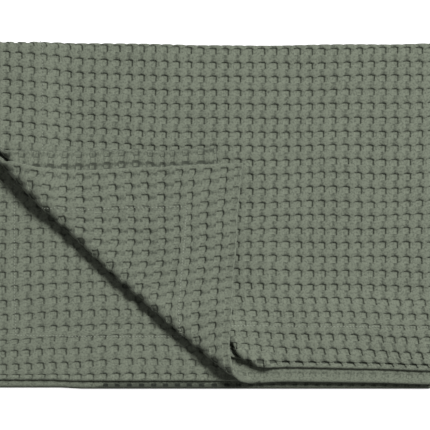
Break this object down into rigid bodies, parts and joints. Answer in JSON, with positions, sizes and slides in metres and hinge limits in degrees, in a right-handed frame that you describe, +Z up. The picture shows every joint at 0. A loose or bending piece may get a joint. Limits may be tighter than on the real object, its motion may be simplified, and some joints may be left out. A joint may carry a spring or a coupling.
{
  "type": "waffle weave cotton blanket",
  "caption": "Baby blanket in waffle weave cotton with wide hems, folded in quarters, its top near left corner turned back over the pile",
  "frame": {"origin": "the middle of the pile's footprint, on the surface that it lies on", "axes": "+X along the pile's long side, with the closed fold at the right end and the hemmed ends at the left; +Y from the open near side, where the hems are, to the far fold; +Z up"},
  "size_m": [0.518, 0.3942, 0.0434],
  "materials": {
    "waffle_cotton": "matt sage green waffle weave cotton, soft and thick, with deep square pits between raised yarn ridges"
  },
  "bodies": {
    "root": {"blanket": "waffle_cotton"}
  },
  "joints": []
}
